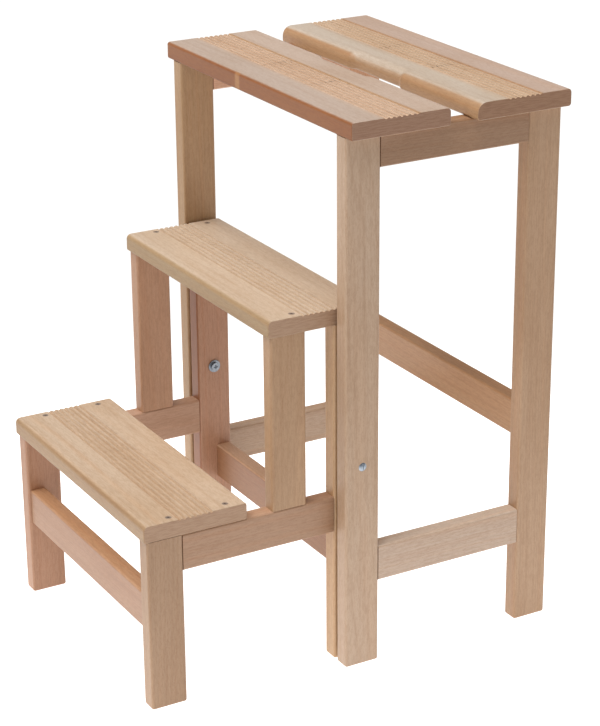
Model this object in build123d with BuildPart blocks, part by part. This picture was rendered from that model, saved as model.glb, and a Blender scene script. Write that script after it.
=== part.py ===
from build123d import *

import os

# Folding beech step stool. A stool with a two-board seat carries a step unit that turns on two
# pivot screws in its front legs. The step unit stands in front of the stool in use, and turns up
# and over through the open front into the stool to be put away.
#
# Millimetres. X runs along the treads, +X to the right of a person climbing. The steps are at -Y
# and the stool at +Y. Z is up, with z = 0 on the floor. y = 0 is the plane of the pivots, midway
# along the overall depth.

# Stock
leg_thickness = 21.0
leg_width = 43.5
leg_edge = 3.0
foot_edge = 2.5
rail_thickness = 20.0
rail_height = 43.5
apron_height = 38.0
rail_edge = 2.5
board_thickness = 20.0

# Stool
seat_height = 650.0
stool_width = 405.0
leg_spacing = 234.5
seat_length = 431.0
seat_board_width = 124.0
seat_front = -22.5
seat_rear = 259.5
lower_rail_base = 101.5
stretcher_base = 227.0

# Step unit
unit_width = 353.5
tread_width = 126.5
tread_overhang = 3.25
lower_tread_height = 226.0
middle_tread_height = 432.5
middle_upright_thickness = 19.5
middle_upright_y = -78.5
middle_tread_front = -103.75
front_cross_rail_base = 93.0
front_cross_rail_setback = 3.0
rear_cross_rail_base = 97.5
rear_cross_rail_setback = 0.5

# Board details
seat_front_rounding = (3.5, 5.0, 2.5)
seat_rear_rounding = (12.0, 5.0, 3.5)
tread_rounding = (6.0, 3.0, 2.0)
end_edge = 1.2
groove_count = 7
groove_pitch = 6.5
groove_radius = 2.1
groove_centre_lift = 0.5
hand_slot_length = 120.0
hand_slot_bite = 4.5
hand_slot_shoulder = 13.0
shoulder_sections = 5

# Joinery
dowel_radius = 4.0
dowel_glue_gap = 0.05
dowel_in_leg = 14.0
dowel_in_rail = 16.0
dowel_in_cross_leg = 12.0
dowel_in_short_leg = 9.0
dowel_in_board = 11.0
dowel_pair = 20.0
dowel_bevel = 0.8

# Tread screws
tread_screw_length = 42.0
tread_screw_radius = 2.0
tread_screw_head_radius = 3.6
tread_screw_sink = 0.15
tread_screw_clearance = 0.1
tread_screw_from_front = 35.0
tread_screw_from_rear = 22.0

# Pivot
pivot_height = 248.5
barrel_radius = 4.0
barrel_leg_fit = 0.03
barrel_running_fit = 0.07
nut_head_radius = 5.0
nut_head_rise = 1.6
nut_slot_width = 1.2
nut_slot_depth = 0.9
pivot_screw_radius = 2.5
pivot_screw_fit = 0.05
pivot_screw_length = 20.0
pivot_head_radius = 5.4
pivot_head_height = 3.4
cross_recess_span = 5.6
cross_recess_width = 1.2
cross_recess_depth = 1.8
washer_radius = 7.8
washer_thickness = 1.2
washer_bore_radius = 2.8
spacer_radius = 9.0
spacer_bore_radius = 4.3
running_gap = 0.3

# Derived places
leg_x = (stool_width - leg_thickness) / 2
unit_x = (unit_width - leg_thickness) / 2
leg_top = seat_height - board_thickness
lower_tread_base = lower_tread_height - board_thickness
middle_tread_base = middle_tread_height - board_thickness
rear_leg_y = leg_spacing
short_leg_y = -leg_spacing
lower_tread_front = short_leg_y - leg_width / 2 - tread_overhang
apron_base = leg_top - apron_height
unit_rail_base = lower_tread_base - rail_height
half_leg = leg_width / 2
upright_inner = unit_x - leg_thickness / 2
upright_outer = unit_x + leg_thickness / 2
leg_inner = leg_x - leg_thickness / 2
leg_outer = leg_x + leg_thickness / 2
dowel_hole = dowel_radius + dowel_glue_gap
front_cross_rail_y = short_leg_y - half_leg + front_cross_rail_setback + rail_thickness / 2
rear_cross_rail_y = half_leg - rear_cross_rail_setback - rail_thickness / 2
barrel_start = upright_inner - running_gap
sides = {"right": 1, "left": -1}

os.makedirs("parts", exist_ok=True)


def save(piece, name):
    piece.part.label = name
    export_step(piece.part, "parts/" + name + ".step")


def facing(x, y, z, direction):
    """The plane at a point on a surface, its normal leaving the material."""
    return Plane(origin=(x, y, z), z_dir=direction)


def pair(base, height):
    """The heights of the two dowels in the end of a rail."""
    middle = base + height / 2
    return [middle - dowel_pair / 2, middle + dowel_pair / 2]


def leg(name, x, y, base, top, thickness, holes):
    """An upright of rectangular stock. Its foot is rounded where it stands on the floor."""
    with BuildPart() as piece:
        with BuildSketch(Plane.XY.offset(base)):
            with Locations((x, y)):
                RectangleRounded(thickness, leg_width, leg_edge)
        extrude(amount=top - base)
        if base == 0:
            fillet(piece.faces().sort_by(Axis.Z)[0].edges(), foot_edge)
        for plane, radius, depth in holes:
            with Locations(plane):
                Hole(radius=radius, depth=depth)
    save(piece, name)


def side_rail(name, x, front, rear, base, height, holes):
    """A rail from front to rear between two legs."""
    middle = (front + rear) / 2
    with BuildPart() as piece:
        with BuildSketch(Plane.XZ.offset(-middle)):
            with Locations((x, base + height / 2)):
                RectangleRounded(rail_thickness, height, rail_edge)
        extrude(amount=(rear - front) / 2, both=True)
        for plane, radius, depth in holes:
            with Locations(plane):
                Hole(radius=radius, depth=depth)
    save(piece, name)


def cross_rail(name, half_length, y, base):
    """A rail from left to right between two legs, with a pair of dowel holes in each end."""
    with BuildPart() as piece:
        with BuildSketch(Plane.YZ):
            with Locations((y, base + rail_height / 2)):
                RectangleRounded(rail_thickness, rail_height, rail_edge)
        extrude(amount=half_length, both=True)
        for side in sides.values():
            for z in pair(base, rail_height):
                with Locations(facing(side * half_length, y, z, (side, 0, 0))):
                    Hole(radius=dowel_hole, depth=dowel_in_rail)
    save(piece, name)


def slot_shoulder(side):
    """Where a cut-out runs out into the edge: places along X and the bite there, left to right."""
    places = []
    for number in range(shoulder_sections):
        part_way = number / (shoulder_sections - 1)
        x = side * (hand_slot_length / 2 - hand_slot_shoulder * part_way)
        places.append((x, hand_slot_bite * part_way**2 * (3 - 2 * part_way)))
    return sorted(places)


def board(name, half_length, front, width, top, rounding, screws, dowels, slot_side):
    """A grooved board along X, rounded (front, rear, under) by the amounts in rounding.
    slot_side is the edge with the hand cut-out: 1 for the rear edge, -1 for the front edge."""
    front_edge, rear_edge, under_edge = rounding

    def section(x, bite):
        with BuildSketch(Plane.YZ.offset(x)) as outline:
            y = front + width / 2 - slot_side * bite / 2
            with Locations((y, top - board_thickness / 2)):
                Rectangle(width - bite, board_thickness)
            fillet(outline.vertices().group_by(Axis.Y)[0], under_edge)
            fillet(outline.vertices().group_by(Axis.Y)[-1].sort_by(Axis.X)[0], front_edge)
            fillet(outline.vertices().group_by(Axis.Y)[-1].sort_by(Axis.X)[-1], rear_edge)
        return outline.sketch

    straights = [(-half_length, half_length, 0)]
    shoulders = []
    if slot_side:
        slot_end = hand_slot_length / 2
        slot_flat = slot_end - hand_slot_shoulder
        straights = [
            (-half_length, -slot_end, 0),
            (-slot_flat, slot_flat, hand_slot_bite),
            (slot_end, half_length, 0),
        ]
        shoulders = [slot_shoulder(-1), slot_shoulder(1)]
    with BuildPart() as piece:
        for left, right, bite in straights:
            extrude(section(left, bite), amount=right - left)
        for places in shoulders:
            loft([section(x, bite).face() for x, bite in places])
        ends = piece.faces().filter_by(Axis.X).sort_by(Axis.X)
        fillet(ends[0].edges() + ends[-1].edges(), end_edge)
        with BuildSketch(Plane.YZ):
            with Locations((front + width / 2, top + groove_centre_lift)):
                with GridLocations(groove_pitch, 1, groove_count, 1):
                    Circle(groove_radius)
        extrude(amount=half_length, both=True, mode=Mode.SUBTRACT)
        for x, y in screws:
            with Locations(facing(x, y, top, (0, 0, 1))):
                CounterSinkHole(
                    radius=tread_screw_radius + tread_screw_clearance,
                    counter_sink_radius=tread_screw_head_radius + tread_screw_sink,
                    counter_sink_angle=90,
                )
        for x, y in dowels:
            with Locations(facing(x, y, top - board_thickness, (0, 0, -1))):
                Hole(radius=dowel_hole, depth=dowel_in_board)
    save(piece, name)


def dowel_group(name, dowels):
    """Fluted-size beech pegs with bevelled ends. Each is a start, a direction and a length."""
    with BuildPart() as group:
        for start, direction, length in dowels:
            with BuildSketch(Plane(origin=start, z_dir=direction)):
                Circle(dowel_radius)
            extrude(amount=length)
        chamfer(group.edges().filter_by(GeomType.CIRCLE), dowel_bevel)
    save(group, name)


# Where the holes and dowels of each joint lie
def cross_dowels(half_length, y, base):
    """Dowels across the two ends of a cross rail."""
    found = []
    for side in sides.values():
        for z in pair(base, rail_height):
            start = (side * (half_length - dowel_in_rail), y, z)
            found.append((start, (side, 0, 0), dowel_in_rail + dowel_in_cross_leg))
    return found


def side_dowels(x, front, rear, base, height, front_depth):
    """Dowels across the two ends of both side rails."""
    found = []
    for side in sides.values():
        for z in pair(base, height):
            start = (side * x, front + dowel_in_rail, z)
            found.append((start, (0, -1, 0), dowel_in_rail + front_depth))
            start = (side * x, rear - dowel_in_rail, z)
            found.append((start, (0, 1, 0), dowel_in_rail + dowel_in_leg))
    return found


def end_holes(x, front, rear, base, height):
    """Dowel holes in the two end faces of a side rail."""
    found = []
    for z in pair(base, height):
        found.append((facing(x, front, z, (0, -1, 0)), dowel_hole, dowel_in_rail))
        found.append((facing(x, rear, z, (0, 1, 0)), dowel_hole, dowel_in_rail))
    return found


def face_holes(x, y, base, height, direction, depth):
    """A pair of dowel holes in the face of a leg that a rail meets."""
    return [(facing(x, y, z, direction), dowel_hole, depth) for z in pair(base, height)]


# Tread screws: two in each end of a tread
def tread_screw_places(front):
    rear = front + tread_width
    rows = [front + tread_screw_from_front, rear - tread_screw_from_rear]
    return [(side * unit_x, y) for side in sides.values() for y in rows]


lower_screws = tread_screw_places(lower_tread_front)
middle_screws = tread_screw_places(middle_tread_front)
tread_screw_hole = tread_screw_radius + tread_screw_clearance
tread_screw_grip = tread_screw_length - board_thickness + 1

# Seat dowels: one in the top of each leg, and one under each board in each side rail
seat_dowel_in_leg = 18.0
front_board_apron_dowel = 75.0
rear_board_apron_dowel = 160.0
seat_rows = {"front": [0, front_board_apron_dowel], "rear": [rear_board_apron_dowel, rear_leg_y]}

# Stool legs
stool_front = half_leg
stool_rear = rear_leg_y - half_leg
for side_name, side in sides.items():
    x = side * leg_x
    front_holes = face_holes(x, stool_front, lower_rail_base, rail_height, (0, 1, 0), dowel_in_leg)
    front_holes += face_holes(x, stool_front, apron_base, apron_height, (0, 1, 0), dowel_in_leg)
    front_holes.append((facing(x, 0, leg_top, (0, 0, 1)), dowel_hole, seat_dowel_in_leg))
    barrel_hole = barrel_radius + barrel_leg_fit
    outer_face = facing(side * leg_outer, 0, pivot_height, (side, 0, 0))
    front_holes.append((outer_face, barrel_hole, leg_thickness))
    leg("front_leg_" + side_name, x, 0, 0, leg_top, leg_thickness, front_holes)

    rear_holes = face_holes(x, stool_rear, lower_rail_base, rail_height, (0, -1, 0), dowel_in_leg)
    rear_holes += face_holes(x, stool_rear, apron_base, apron_height, (0, -1, 0), dowel_in_leg)
    rear_holes.append((facing(x, rear_leg_y, leg_top, (0, 0, 1)), dowel_hole, seat_dowel_in_leg))
    inward = (-side, 0, 0)
    inner = side * leg_inner
    rear_holes += face_holes(
        inner, rear_leg_y, stretcher_base, rail_height, inward, dowel_in_cross_leg
    )
    leg("rear_leg_" + side_name, x, rear_leg_y, 0, leg_top, leg_thickness, rear_holes)

# Stool rails
for side_name, side in sides.items():
    x = side * leg_x
    holes = end_holes(x, stool_front, stool_rear, apron_base, apron_height)
    for y in (front_board_apron_dowel, rear_board_apron_dowel):
        holes.append((facing(x, y, leg_top, (0, 0, 1)), dowel_hole, seat_dowel_in_leg))
    side_rail(
        "seat_side_rail_" + side_name, x, stool_front, stool_rear, apron_base, apron_height, holes
    )
    holes = end_holes(x, stool_front, stool_rear, lower_rail_base, rail_height)
    side_rail(
        "lower_side_rail_" + side_name, x, stool_front, stool_rear, lower_rail_base, rail_height, holes
    )
cross_rail("rear_stretcher", leg_inner, rear_leg_y, stretcher_base)

# Seat boards
front_board_dowels = [(side * leg_x, y) for side in sides.values() for y in seat_rows["front"]]
rear_board_dowels = [(side * leg_x, y) for side in sides.values() for y in seat_rows["rear"]]
board(
    "seat_board_front", seat_length / 2, seat_front, seat_board_width, seat_height,
    seat_front_rounding, [], front_board_dowels, 1,
)
board(
    "seat_board_rear", seat_length / 2, seat_rear - seat_board_width, seat_board_width, seat_height,
    seat_rear_rounding, [], rear_board_dowels, -1,
)

# Treads
board(
    "lower_tread", unit_width / 2, lower_tread_front, tread_width, lower_tread_height,
    tread_rounding, lower_screws, [], 0,
)
board(
    "middle_tread", unit_width / 2, middle_tread_front, tread_width, middle_tread_height,
    tread_rounding, middle_screws, [], 0,
)

# Step unit legs and rails
unit_front = short_leg_y + half_leg
unit_rear = -half_leg
upright_dowels_y = [middle_upright_y - dowel_pair / 2, middle_upright_y + dowel_pair / 2]
for side_name, side in sides.items():
    x = side * unit_x
    inner = side * upright_inner
    inward = (-side, 0, 0)

    holes = face_holes(x, unit_front, unit_rail_base, rail_height, (0, 1, 0), dowel_in_short_leg)
    holes += face_holes(
        inner, front_cross_rail_y, front_cross_rail_base, rail_height, inward, dowel_in_cross_leg
    )
    front_screw_y = lower_screws[0][1]
    top_face = facing(x, front_screw_y, lower_tread_base, (0, 0, 1))
    holes.append((top_face, tread_screw_hole, tread_screw_grip))
    leg("short_leg_" + side_name, x, short_leg_y, 0, lower_tread_base, leg_thickness, holes)

    holes = face_holes(x, unit_rear, unit_rail_base, rail_height, (0, -1, 0), dowel_in_leg)
    holes += face_holes(
        inner, rear_cross_rail_y, rear_cross_rail_base, rail_height, inward, dowel_in_cross_leg
    )
    rear_screw_y = middle_screws[1][1]
    top_face = facing(x, rear_screw_y, middle_tread_base, (0, 0, 1))
    holes.append((top_face, tread_screw_hole, tread_screw_grip))
    outer_face = facing(side * upright_outer, 0, pivot_height, (side, 0, 0))
    holes.append((outer_face, barrel_radius + barrel_running_fit, leg_thickness))
    leg("back_upright_" + side_name, x, 0, 0, middle_tread_base, leg_thickness, holes)

    holes = [
        (facing(x, y, lower_tread_base, (0, 0, -1)), dowel_hole, dowel_in_leg)
        for y in upright_dowels_y
    ]
    top_face = facing(x, middle_screws[0][1], middle_tread_base, (0, 0, 1))
    holes.append((top_face, tread_screw_hole, tread_screw_grip))
    leg(
        "middle_upright_" + side_name, x, middle_upright_y, lower_tread_base, middle_tread_base,
        middle_upright_thickness, holes,
    )

    holes = end_holes(x, unit_front, unit_rear, unit_rail_base, rail_height)
    for y in upright_dowels_y:
        holes.append((facing(x, y, lower_tread_base, (0, 0, 1)), dowel_hole, dowel_in_leg))
    top_face = facing(x, lower_screws[1][1], lower_tread_base, (0, 0, 1))
    holes.append((top_face, tread_screw_hole, tread_screw_grip))
    side_rail(
        "step_side_rail_" + side_name, x, unit_front, unit_rear, unit_rail_base, rail_height, holes
    )

cross_rail("front_cross_rail", upright_inner, front_cross_rail_y, front_cross_rail_base)
cross_rail("rear_cross_rail", upright_inner, rear_cross_rail_y, rear_cross_rail_base)

# Dowels
dowel_group(
    "seat_side_rail_dowels",
    side_dowels(leg_x, stool_front, stool_rear, apron_base, apron_height, dowel_in_leg),
)
dowel_group(
    "lower_side_rail_dowels",
    side_dowels(leg_x, stool_front, stool_rear, lower_rail_base, rail_height, dowel_in_leg),
)
dowel_group("stretcher_dowels", cross_dowels(leg_inner, rear_leg_y, stretcher_base))
seat_dowel_length = seat_dowel_in_leg + dowel_in_board
dowel_group(
    "seat_dowels",
    [
        ((x, y, leg_top - seat_dowel_in_leg), (0, 0, 1), seat_dowel_length)
        for x, y in front_board_dowels + rear_board_dowels
    ],
)
dowel_group(
    "step_side_rail_dowels",
    side_dowels(unit_x, unit_front, unit_rear, unit_rail_base, rail_height, dowel_in_short_leg),
)
dowel_group(
    "middle_upright_dowels",
    [
        ((side * unit_x, y, lower_tread_base - dowel_in_leg), (0, 0, 1), 2 * dowel_in_leg)
        for side in sides.values()
        for y in upright_dowels_y
    ],
)
dowel_group(
    "cross_rail_dowels",
    cross_dowels(upright_inner, front_cross_rail_y, front_cross_rail_base)
    + cross_dowels(upright_inner, rear_cross_rail_y, rear_cross_rail_base),
)


# Countersunk cross-head screws that hold the treads down
def tread_screws(name, places, top):
    head_top = top - tread_screw_sink
    head_depth = tread_screw_head_radius - tread_screw_radius
    with BuildPart() as group:
        for x, y in places:
            with BuildSketch(Plane.XY.offset(head_top)):
                with Locations((x, y)):
                    Circle(tread_screw_head_radius)
            extrude(amount=-head_depth, taper=45)
            with BuildSketch(Plane.XY.offset(head_top - head_depth)):
                with Locations((x, y)):
                    Circle(tread_screw_radius)
            extrude(amount=head_depth - tread_screw_length)
            with BuildSketch(Plane.XY.offset(head_top)):
                with Locations((x, y)):
                    Rectangle(4.0, 0.9)
                    Rectangle(0.9, 4.0)
            extrude(amount=-1.1, mode=Mode.SUBTRACT)
    save(group, name)


tread_screws("lower_tread_screws", lower_screws, lower_tread_height)
tread_screws("middle_tread_screws", middle_screws, middle_tread_height)

# Pivot: a slotted sleeve nut whose barrel is the hinge pin, held in the stool leg
barrel_length = leg_outer - barrel_start
with BuildPart() as sleeve_nuts:
    for side in sides.values():
        with BuildSketch(facing(side * leg_outer, 0, pivot_height, (-side, 0, 0))):
            Circle(barrel_radius)
        extrude(amount=barrel_length)
        with BuildSketch(Plane.XZ) as dome:
            with BuildLine():
                rim = (side * leg_outer, pivot_height + nut_head_radius)
                crown = (side * (leg_outer + nut_head_rise), pivot_height)
                rim_below = (side * leg_outer, pivot_height - nut_head_radius)
                ThreePointArc(rim, crown, rim_below)
                Line(rim_below, rim)
            make_face()
            with Locations((side * leg_outer, pivot_height - nut_head_radius)):
                Rectangle(
                    2 * nut_head_radius, nut_head_radius,
                    align=(Align.CENTER, Align.MIN), mode=Mode.SUBTRACT,
                )
        revolve(axis=Axis((0, 0, pivot_height), (1, 0, 0)))
        crown_plane = facing(side * (leg_outer + nut_head_rise), 0, pivot_height, (side, 0, 0))
        with BuildSketch(crown_plane):
            Rectangle(4 * nut_head_radius, nut_slot_width)
        extrude(amount=-nut_slot_depth, mode=Mode.SUBTRACT)
        with Locations(facing(side * barrel_start, 0, pivot_height, (-side, 0, 0))):
            Hole(radius=pivot_screw_radius + pivot_screw_fit, depth=pivot_screw_length)
save(sleeve_nuts, "pivot_sleeve_nuts")

# Cross-recess pan-head screws that close the sleeve nuts from inside
with BuildPart() as pivot_screws:
    for side in sides.values():
        head_start = barrel_start - washer_thickness
        seat_plane = facing(side * head_start, 0, pivot_height, (-side, 0, 0))
        with BuildSketch(seat_plane):
            Circle(pivot_head_radius)
        extrude(amount=pivot_head_height)
        head_face = pivot_screws.faces().sort_by(lambda f: side * f.center().X)[0]
        fillet(head_face.edges(), pivot_head_height * 0.6)
        with BuildSketch(facing(side * head_start, 0, pivot_height, (side, 0, 0))):
            Circle(pivot_screw_radius)
        extrude(amount=washer_thickness + pivot_screw_length - 2)
        tip = side * (head_start - pivot_head_height)
        with BuildSketch(facing(tip, 0, pivot_height, (-side, 0, 0))):
            Rectangle(cross_recess_span, cross_recess_width)
            Rectangle(cross_recess_width, cross_recess_span)
        extrude(amount=-cross_recess_depth, mode=Mode.SUBTRACT)
save(pivot_screws, "pivot_screws")


def ring_pair(name, start, outer_radius, bore_radius, thickness):
    """The same ring on both pivots, from start outwards along X."""
    with BuildPart() as rings:
        for side in sides.values():
            with BuildSketch(facing(side * start, 0, pivot_height, (side, 0, 0))):
                Circle(outer_radius)
                Circle(bore_radius, mode=Mode.SUBTRACT)
            extrude(amount=thickness)
    save(rings, name)


ring_pair(
    "pivot_washers", barrel_start - washer_thickness, washer_radius, washer_bore_radius,
    washer_thickness,
)
spacer_start = upright_outer + running_gap
ring_pair(
    "pivot_spacers", spacer_start, spacer_radius, spacer_bore_radius, leg_inner - spacer_start
)
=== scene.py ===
"""The looks of a folding beech step stool, around its CAD frame. Metres; the steps are at -Y."""

import math

import bpy
from mathutils import Matrix, Vector


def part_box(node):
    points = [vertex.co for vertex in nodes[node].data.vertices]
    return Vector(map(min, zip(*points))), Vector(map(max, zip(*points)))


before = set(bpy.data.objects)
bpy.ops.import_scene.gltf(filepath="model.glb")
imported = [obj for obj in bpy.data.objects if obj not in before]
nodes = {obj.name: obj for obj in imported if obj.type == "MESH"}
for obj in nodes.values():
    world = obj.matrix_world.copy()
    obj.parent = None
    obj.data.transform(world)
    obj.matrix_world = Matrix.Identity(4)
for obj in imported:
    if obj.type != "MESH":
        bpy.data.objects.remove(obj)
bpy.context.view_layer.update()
bpy.context.scene.view_settings.view_transform = "Standard"


def linear(red, green, blue):
    """A colour as a paint chart gives it, 0 to 255 a channel, in the linear values that shaders use."""

    def channel(value):
        value /= 255
        return value / 12.92 if value <= 0.04045 else ((value + 0.055) / 1.055) ** 2.4

    return (channel(red), channel(green), channel(blue), 1.0)


def shaded(colour, red, green, blue):
    """The colour with each channel multiplied."""
    return (colour[0] * red, colour[1] * green, colour[2] * blue, 1.0)


# ---------------------------------------------------------------------------- shader graphs
class Graph:
    """The node tree of one material, with a short call for each kind of node used here."""

    def __init__(self, name):
        self.material = bpy.data.materials.new(name)
        self.material.use_nodes = True
        self.tree = self.material.node_tree
        self.tree.nodes.clear()
        self.shader = self.tree.nodes.new("ShaderNodeBsdfPrincipled")
        output = self.tree.nodes.new("ShaderNodeOutputMaterial")
        self.tree.links.new(self.shader.outputs["BSDF"], output.inputs["Surface"])

    def set(self, socket, value):
        """Puts a number, a colour or another node's output on a socket."""
        if isinstance(value, bpy.types.NodeSocket):
            self.tree.links.new(value, socket)
        else:
            socket.default_value = value

    def principled(self, **values):
        for name, value in values.items():
            self.set(self.shader.inputs[name.replace("_", " ")], value)

    def coordinates(self, kind):
        """The x, y and z of the object's own coordinates or normal."""
        source = self.tree.nodes.new("ShaderNodeTexCoord").outputs[kind]
        split = self.tree.nodes.new("ShaderNodeSeparateXYZ")
        self.set(split.inputs[0], source)
        return list(split.outputs)

    def vector(self, x, y, z):
        node = self.tree.nodes.new("ShaderNodeCombineXYZ")
        for socket, value in zip(node.inputs, (x, y, z)):
            self.set(socket, value)
        return node.outputs[0]

    def math(self, operation, a, b=0.0, c=0.0):
        node = self.tree.nodes.new("ShaderNodeMath")
        node.operation = operation
        for socket, value in zip(node.inputs, (a, b, c)):
            self.set(socket, value)
        return node.outputs[0]

    def length(self, vector):
        node = self.tree.nodes.new("ShaderNodeVectorMath")
        node.operation = "LENGTH"
        self.set(node.inputs[0], vector)
        return node.outputs["Value"]

    def step(self, value, start, end):
        """0 below start, 1 above end and smooth between them; start may be above end."""
        node = self.tree.nodes.new("ShaderNodeMapRange")
        node.interpolation_type = "SMOOTHSTEP"
        low, high = (start, end) if start < end else (end, start)
        ends = (0.0, 1.0) if start < end else (1.0, 0.0)
        for socket, number in zip(node.inputs, (value, low, high) + ends):
            self.set(socket, number)
        return node.outputs[0]

    def band(self, value, low, high, soft_low, soft_high):
        """1 between low and high, with a soft shoulder outside each of them."""
        rising = self.step(value, low - soft_low, low)
        return self.math("MULTIPLY", rising, self.step(value, high + soft_high, high))

    def noise(self, vector, scale=1.0, detail=2.0, roughness=0.5, distortion=0.0):
        node = self.tree.nodes.new("ShaderNodeTexNoise")
        settings = {
            "Vector": vector,
            "Scale": scale,
            "Detail": detail,
            "Roughness": roughness,
            "Distortion": distortion,
        }
        for name, value in settings.items():
            self.set(node.inputs[name], value)
        return node.outputs[0]

    def cells(self, vector):
        """The distance to the nearest of many scattered points."""
        node = self.tree.nodes.new("ShaderNodeTexVoronoi")
        self.set(node.inputs["Vector"], vector)
        node.inputs["Scale"].default_value = 1.0
        return node.outputs["Distance"]

    def mix(self, factor, a, b, blend="MIX"):
        node = self.tree.nodes.new("ShaderNodeMix")
        node.data_type = "RGBA"
        node.blend_type = blend
        self.set(node.inputs[0], factor)
        self.set(node.inputs[6], a)
        self.set(node.inputs[7], b)
        return node.outputs[2]

    def ramp(self, value, stops):
        node = self.tree.nodes.new("ShaderNodeValToRGB")
        elements = node.color_ramp.elements
        while len(elements) < len(stops):
            elements.new(0.5)
        for element, (position, colour) in zip(elements, stops):
            element.position = position
            element.color = colour
        self.set(node.inputs[0], value)
        return node.outputs[0]

    def bump(self, height, distance, strength):
        node = self.tree.nodes.new("ShaderNodeBump")
        self.set(node.inputs["Height"], height)
        node.inputs["Distance"].default_value = distance
        node.inputs["Strength"].default_value = strength
        return node.outputs[0]


# ---------------------------------------------------------------------------- beech
GRAIN_ORDER = {"x": (0, 1, 2), "y": (1, 0, 2), "z": (2, 0, 1)}
RING_SPACING = 0.0026
# How dark the wood is through one year's ring: from the last autumn, through spring, to autumn
LATEWOOD = [
    (0.0, (0.35, 0.35, 0.35, 1)),
    (0.25, (0, 0, 0, 1)),
    (0.8, (0.3, 0.3, 0.3, 1)),
    (0.97, (1, 1, 1, 1)),
]
GROOVED_HALF = 0.0225  # half the width of the grooved middle of a board
CRISP = 0.001  # how softly a zone with a sharp edge starts or ends
PAST_FACE = 0.01  # how far a zone reaches out beyond the face it colours


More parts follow.
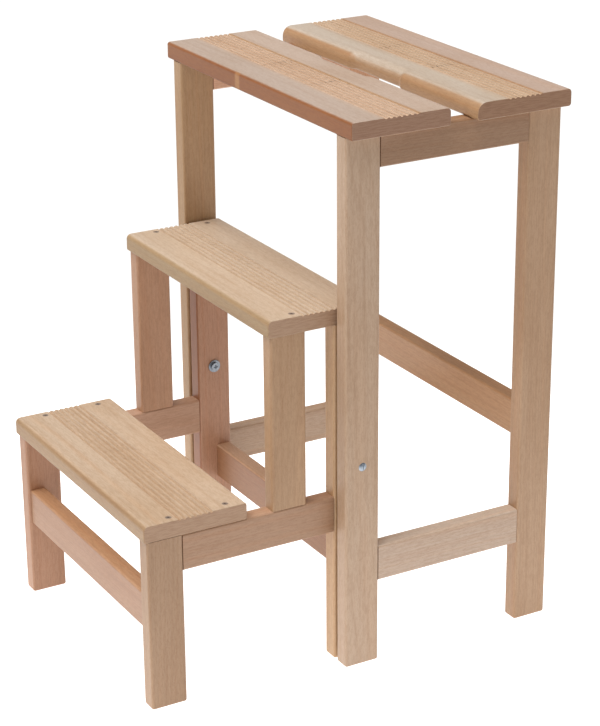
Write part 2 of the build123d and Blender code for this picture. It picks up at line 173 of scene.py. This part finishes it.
def beech(name, grain, tone, seed, figure=1.0, zones=(), end_tone=None, grooves=None):
    """Planed and clear-lacquered beech with its grain along one axis.

    tone is the general colour and figure the strength of the growth rings. zones are places of another
    colour, such as a stripe of the tree, or painted light on one face: the colour and its limits, (axis,
    low, high, and how softly it starts and ends). end_tone is the colour of the end grain. grooves are the
    height of a grooved upper face, the middle of its grooves and how much painted shade and dirt darken
    them."""
    g = Graph(name)
    place = g.coordinates("Object")
    normal = g.coordinates("Normal")
    along, across, through = (place[i] for i in GRAIN_ORDER[grain])
    along = g.math("ADD", along, 3.17 * seed)
    across_shifted = g.math("ADD", across, 0.11 + 0.019 * math.sin(5.1 * seed))
    through_shifted = g.math("ADD", through, 0.07 + 0.031 * math.sin(3.7 * seed))
    end_grain = g.step(g.math("ABSOLUTE", normal["xyz".index(grain)]), 0.72, 0.92)

    def stretched(across_scale, along_scale):
        """A place in noise that is drawn out along the grain."""
        return g.vector(
            g.math("MULTIPLY", across, across_scale),
            g.math("MULTIPLY", through, across_scale),
            g.math("MULTIPLY", along, along_scale),
        )

    # Growth rings: distance from the tree's heart, which wanders and leans a little along the piece
    wander = g.noise(stretched(9.0, 2.2))
    radius = g.length(g.vector(across_shifted, through_shifted, 0.0))
    radius = g.math("MULTIPLY_ADD", wander, 0.016, radius)
    radius = g.math("MULTIPLY_ADD", along, 0.012, radius)
    ring = g.ramp(g.math("FRACT", g.math("DIVIDE", radius, RING_SPACING)), LATEWOOD)
    year = g.noise(g.vector(g.math("MULTIPLY", radius, 180.0), 0.0, seed), detail=1.0)

    # Fibres, the short dark rays that mark beech, and cloudy patches
    fibre = g.noise(stretched(1300.0, 38.0), detail=3.0, roughness=0.6)
    fleck = g.noise(stretched(560.0, 110.0), detail=2.0, roughness=0.6)
    streak = g.noise(stretched(210.0, 5.0), detail=3.0, roughness=0.55)
    ray = g.step(g.cells(stretched(950.0, 270.0)), 0.34, 0.2)
    patch = g.noise(stretched(17.0, 4.5), distortion=0.4)

    # Colour
    colour = tone
    for zone_colour, limits in zones:
        inside = g.math("SUBTRACT", 1.0, end_grain)
        for axis, low, high, soft_low, soft_high in limits:
            limit = g.band(place["xyz".index(axis)], low, high, soft_low, soft_high)
            inside = g.math("MULTIPLY", inside, limit)
        colour = g.mix(inside, colour, zone_colour)
    figure_marks = [
        (g.step(patch, 0.38, 0.66), (0.93, 0.89, 0.84, 1)),
        (g.step(fleck, 0.42, 0.62), (0.91, 0.88, 0.85, 1)),
        (g.step(year, 0.5, 0.7), (1.03, 0.99, 0.95, 1)),
        (g.math("MULTIPLY", ring, 0.42 * figure), (0.86, 0.78, 0.70, 1)),
        (g.step(streak, 0.45, 0.72), (0.92, 0.88, 0.84, 1)),
        (g.step(fibre, 0.35, 0.7), (1.05, 1.04, 1.03, 1)),
        (g.math("MULTIPLY", ray, 0.4), (0.78, 0.66, 0.56, 1)),
    ]
    for amount, factor in figure_marks:
        colour = g.mix(amount, colour, g.mix(1.0, colour, factor, "MULTIPLY"))

    # End grain: darker, with pores and the growth rings seen end on
    end_colour = end_tone or shaded(tone, 0.74, 0.66, 0.60)
    pores = g.noise(
        g.vector(g.math("MULTIPLY", across, 1500.0), g.math("MULTIPLY", through, 1500.0), seed), detail=2.0
    )
    end_rings = g.noise(
        g.vector(g.math("MULTIPLY", across, 70.0), g.math("MULTIPLY", through, 720.0), seed), detail=3.0
    )
    for amount, factor in (
        (g.step(pores, 0.45, 0.65), (0.90, 0.86, 0.82, 1)),
        (g.step(end_rings, 0.42, 0.62), (0.86, 0.80, 0.75, 1)),
    ):
        end_colour = g.mix(amount, end_colour, g.mix(1.0, end_colour, factor, "MULTIPLY"))
    colour = g.mix(end_grain, colour, end_colour)

    # Painted shade in the grooves, with some dirt: darker below the top face in the grooved band
    if grooves:
        top, middle, groove_shade_and_dirt = grooves
        deep = g.step(place[2], top - 0.0003, top - 0.0014)
        reach = GROOVED_HALF + 0.0005
        banded = g.band(place[1], middle - reach, middle + reach, CRISP, CRISP)
        shade_and_dirt = g.math("MULTIPLY", g.math("MULTIPLY", deep, banded), groove_shade_and_dirt)
        shade_and_dirt = g.math("MULTIPLY", shade_and_dirt, g.math("SUBTRACT", 1.0, end_grain))
        # Darkens the groove hollows: painted shade, with some dirt
        colour = g.mix(shade_and_dirt, colour, g.mix(1.0, colour, (0.72, 0.60, 0.48, 1), "MULTIPLY"))

    rough = g.math("MULTIPLY_ADD", fibre, 0.14, 0.38)
    rough = g.math("MULTIPLY_ADD", end_grain, 0.14, rough)
    height = g.math("MULTIPLY_ADD", ray, -0.35, fibre)
    height = g.math("MULTIPLY_ADD", ring, -0.25, height)
    g.principled(
        Base_Color=colour,
        Roughness=rough,
        Normal=g.bump(height, 0.00012, 0.3),
        Coat_Weight=0.05,
        Coat_Roughness=0.35,
    )
    return g.material


def board_material(node, tone, seed, zones, figure, end_tone, groove_shade_and_dirt):
    """Beech for a grooved board, whose grain runs along the treads."""
    low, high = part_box(node)
    # The last entry sets how much painted shade and dirt darken the grooves
    grooves = (high.z, (low.y + high.y) / 2, groove_shade_and_dirt)
    return beech(node + "_beech", "x", tone, seed, figure, zones, end_tone, grooves)


def stripes(node, middle, rear, line):
    """The grooved middle of a seat board starts softly and ends at a darker line before the rear stripe."""
    low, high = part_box(node)
    centre = (low.y + high.y) / 2
    last = centre + GROOVED_HALF
    return [
        (rear, [("y", last, high.y + PAST_FACE, CRISP, CRISP)]),
        (middle, [("y", centre - GROOVED_HALF + 0.006, last, 0.014, CRISP)]),
        (line, [("y", last - 0.001, last + 0.0005, 0.0015, CRISP)]),
    ]


# Seat boards: the front one has a redder front edge with one pale streak in it, the rear one a duller
# rounded nose
front_low, front_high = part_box("seat_board_front")
front_face = ("y", front_low.y - PAST_FACE, front_low.y + 0.0006, CRISP, 0.003)
pale_streak = ("x", front_low.x + 0.175, front_low.x + 0.180, 0.005, 0.005)
nodes["seat_board_front"].data.materials[0] = board_material(
    "seat_board_front",
    linear(184, 164, 149),
    1.0,
    stripes("seat_board_front", linear(194, 165, 140), linear(189, 167, 150), linear(182, 148, 115))
    + [(linear(140, 85, 39), [front_face]), (linear(168, 120, 74), [front_face, pale_streak])],
    figure=0.5,
    end_tone=linear(152, 116, 92),
    groove_shade_and_dirt=0.1,
)
rear_low, rear_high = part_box("seat_board_rear")
nose = ("y", rear_low.y - PAST_FACE, rear_low.y + 0.004, CRISP, 0.004)
nodes["seat_board_rear"].data.materials[0] = board_material(
    "seat_board_rear",
    linear(190, 174, 157),
    2.0,
    stripes("seat_board_rear", linear(192, 166, 140), linear(185, 161, 145), linear(180, 145, 114))
    + [(linear(173, 136, 100), [nose])],
    figure=0.5,
    end_tone=linear(149, 112, 85),
    groove_shade_and_dirt=0.1,
)

# Treads: each node's seed, its tone and the tone of its duller front edge
TREADS = {
    "lower_tread": (3.0, linear(191, 168, 144), linear(158, 128, 94)),
    "middle_tread": (4.0, linear(195, 175, 153), linear(160, 133, 98)),
}
for node, (seed, tone, edge_tone) in TREADS.items():
    low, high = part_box(node)
    edge = ("y", low.y - PAST_FACE, low.y + 0.001, CRISP, 0.0045)
    nodes[node].data.materials[0] = board_material(
        node,
        tone,
        seed,
        [(edge_tone, [edge])],
        figure=0.6,
        end_tone=linear(170, 138, 112),
        groove_shade_and_dirt=0.6,
    )

# Every stick: its node, grain direction and tone
STICKS = {
    "front_leg_right": ("z", linear(184, 157, 133)),
    "front_leg_left": ("z", linear(173, 140, 104)),
    "rear_leg_right": ("z", linear(177, 144, 114)),
    "rear_leg_left": ("z", linear(211, 164, 130)),
    "back_upright_right": ("z", linear(193, 158, 121)),
    "back_upright_left": ("z", linear(178, 136, 110)),
    "short_leg_right": ("z", linear(163, 131, 102)),
    "short_leg_left": ("z", linear(170, 129, 102)),
    "middle_upright_right": ("z", linear(173, 140, 108)),
    "middle_upright_left": ("z", linear(176, 136, 107)),
    "seat_side_rail_right": ("y", linear(155, 121, 93)),
    "seat_side_rail_left": ("y", linear(211, 168, 141)),
    "lower_side_rail_right": ("y", linear(187, 163, 144)),
    "lower_side_rail_left": ("y", linear(182, 156, 133)),
    "step_side_rail_right": ("y", linear(166, 131, 104)),
    "step_side_rail_left": ("y", linear(182, 147, 124)),
    "rear_stretcher": ("x", linear(180, 139, 101)),
    "front_cross_rail": ("x", linear(161, 122, 94)),
    "rear_cross_rail": ("x", linear(147, 106, 76)),
}
# Sticks with one face of another colour: the face and its colour. The lighter tops of the rails are painted
# light, standing in for the light that the seat and treads above block; back_upright_left has a darker
# front.
FACE_TONES_AND_PAINTED_LIGHT = {
    "back_upright_left": ("front", linear(146, 95, 61)),
    "rear_cross_rail": ("top", linear(200, 165, 137)),
    "front_cross_rail": ("top", linear(184, 145, 113)),
    "step_side_rail_right": ("top", linear(180, 144, 118)),
    "lower_side_rail_right": ("top", linear(222, 204, 188)),
}
for number, (node, (grain, tone)) in enumerate(STICKS.items()):
    low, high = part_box(node)
    faces = {
        "front": ("y", low.y - PAST_FACE, low.y + 0.0005, CRISP, 0.0015),
        "top": ("z", high.z - 0.0005, high.z + PAST_FACE, 0.0015, CRISP),
    }
    zones = []
    # One face in another colour; on the rail tops this is painted light
    if node in FACE_TONES_AND_PAINTED_LIGHT:
        face, face_colour = FACE_TONES_AND_PAINTED_LIGHT[node]
        zones = [(face_colour, [faces[face]])]
    nodes[node].data.materials[0] = beech(node + "_beech", grain, tone, 5.0 + number, zones=zones)

# Dowels: each node and its grain direction
DOWEL_TONE = linear(192, 168, 143)
DOWELS = {
    "seat_side_rail_dowels": "y",
    "lower_side_rail_dowels": "y",
    "stretcher_dowels": "x",
    "seat_dowels": "z",
    "step_side_rail_dowels": "y",
    "middle_upright_dowels": "z",
    "cross_rail_dowels": "x",
}
for number, (node, grain) in enumerate(DOWELS.items()):
    nodes[node].data.materials[0] = beech(node + "_beech", grain, DOWEL_TONE, 30.0 + number)


# ---------------------------------------------------------------------------- metal and plastic
def metal(name, colour, rough, scale, metallic=1.0):
    """Zinc-plated steel: a bright crystalline plating with fine turning marks and dull patches."""
    g = Graph(name)
    place = g.vector(*g.coordinates("Object"))
    cloud = g.noise(place, scale, 3.0, 0.6)
    fine = g.noise(place, scale * 14, 2.0)
    tint = g.mix(g.step(cloud, 0.35, 0.7), colour, shaded(colour, 0.78, 0.78, 0.82))
    g.principled(
        Base_Color=tint,
        Metallic=metallic,
        Roughness=g.math("MULTIPLY_ADD", cloud, 0.25, rough),
        Normal=g.bump(fine, 0.00004, 0.3),
    )
    return g.material


def nylon(name, colour):
    """Natural nylon, faintly mottled and waxy."""
    g = Graph(name)
    place = g.vector(*g.coordinates("Object"))
    cloud = g.noise(place, 260.0, 3.0)
    tint = g.mix(g.step(cloud, 0.3, 0.7), colour, shaded(colour, 0.93, 0.92, 0.89))
    g.principled(
        Base_Color=tint,
        Roughness=g.math("MULTIPLY_ADD", cloud, 0.15, 0.42),
        Normal=g.bump(cloud, 0.00005, 0.25),
    )
    return g.material


ZINC = linear(158, 166, 174)
DULL_ZINC = linear(150, 132, 118)
for node in ("pivot_sleeve_nuts", "pivot_screws", "pivot_washers"):
    nodes[node].data.materials[0] = metal(node + "_zinc", ZINC, rough=0.22, scale=420.0)
for node in ("lower_tread_screws", "middle_tread_screws"):
    nodes[node].data.materials[0] = metal(node + "_zinc", DULL_ZINC, rough=0.4, scale=600.0, metallic=0.35)
nodes["pivot_spacers"].data.materials[0] = nylon("pivot_spacers_nylon", linear(214, 208, 196))


# ---------------------------------------------------------------------------- studio
FLOOR_SIZE = 60.0


def studio_floor(glow, near_glow):
    """A white light table: pale, faintly mottled, lit from below and brightest round the object."""
    bpy.ops.mesh.primitive_plane_add(size=FLOOR_SIZE, location=(0.0, 0.0, 0.0))
    floor = bpy.context.object
    floor.name = "studio_floor"
    g = Graph("studio_floor_paint")
    place = g.coordinates("Object")
    cloud = g.noise(g.vector(*place), 0.8, 2.0)
    nearness = g.step(g.length(g.vector(place[0], place[1], 0.0)), 1.1, 0.4)
    g.principled(
        Base_Color=g.mix(cloud, linear(190, 190, 189), linear(186, 186, 185)),
        Roughness=0.9,
        Emission_Color=(1.0, 1.0, 1.0, 1.0),
        Emission_Strength=g.math("MULTIPLY_ADD", nearness, near_glow, glow),
    )
    floor.data.materials.append(g.material)


def overhead_light(place, strength, spread):
    """One very wide soft light, as from a ceiling of diffusers, that shines towards the origin."""
    light = bpy.data.lights.new("overhead", "SUN")
    light.energy = strength
    light.angle = math.radians(spread)
    lamp = bpy.data.objects.new("overhead", light)
    lamp.location = place
    lamp.rotation_euler = (-Vector(place)).to_track_quat("-Z", "Y").to_euler()
    bpy.context.collection.objects.link(lamp)


def studio_sky(zenith, horizon):
    """A pale band of studio wall round a darker ceiling."""
    world = bpy.data.worlds.new("studio")
    world.use_nodes = True
    tree = world.node_tree
    place = tree.nodes.new("ShaderNodeTexCoord").outputs["Generated"]
    split = tree.nodes.new("ShaderNodeSeparateXYZ")
    tree.links.new(place, split.inputs[0])
    rise = tree.nodes.new("ShaderNodeMapRange")
    rise.interpolation_type = "SMOOTHSTEP"
    for socket, value in zip(rise.inputs, (0.0, 0.12, 0.22, horizon, zenith)):
        socket.default_value = value
    tree.links.new(split.outputs["Z"], rise.inputs[0])
    tree.links.new(rise.outputs[0], tree.nodes["Background"].inputs["Strength"])
    tree.nodes["Background"].inputs["Color"].default_value = (1.0, 1.0, 1.0, 1.0)
    bpy.context.scene.world = world


studio_floor(glow=0.40, near_glow=0.75)
studio_sky(zenith=0.24, horizon=0.7)
overhead_light(place=(-0.06, -0.34, 0.94), strength=3.7, spread=60.0)


# ---------------------------------------------------------------------------- camera
def camera(place, yaw, pitch, roll, lens):
    """yaw turns from looking along +Y towards looking along -X; pitch looks down."""
    yaw, pitch, roll = (math.radians(angle) for angle in (yaw, pitch, roll))
    back = Vector((math.sin(yaw) * math.cos(pitch), -math.cos(yaw) * math.cos(pitch), math.sin(pitch)))
    level = Vector((math.cos(yaw), math.sin(yaw), 0.0))
    upward = back.cross(level)
    right = level * math.cos(roll) + upward * math.sin(roll)
    up = upward * math.cos(roll) - level * math.sin(roll)
    view = bpy.data.cameras.new("camera")
    view.lens = lens
    view.sensor_width = 36.0
    view.clip_end = 100.0
    holder = bpy.data.objects.new("camera", view)
    holder.matrix_world = Matrix.Translation(place) @ Matrix((right, up, back)).transposed().to_4x4()
    bpy.context.collection.objects.link(holder)
    bpy.context.scene.camera = holder


camera(place=(2.1417, -1.1729, 1.2639), yaw=60.575, pitch=21.449, roll=-0.468, lens=110.22)
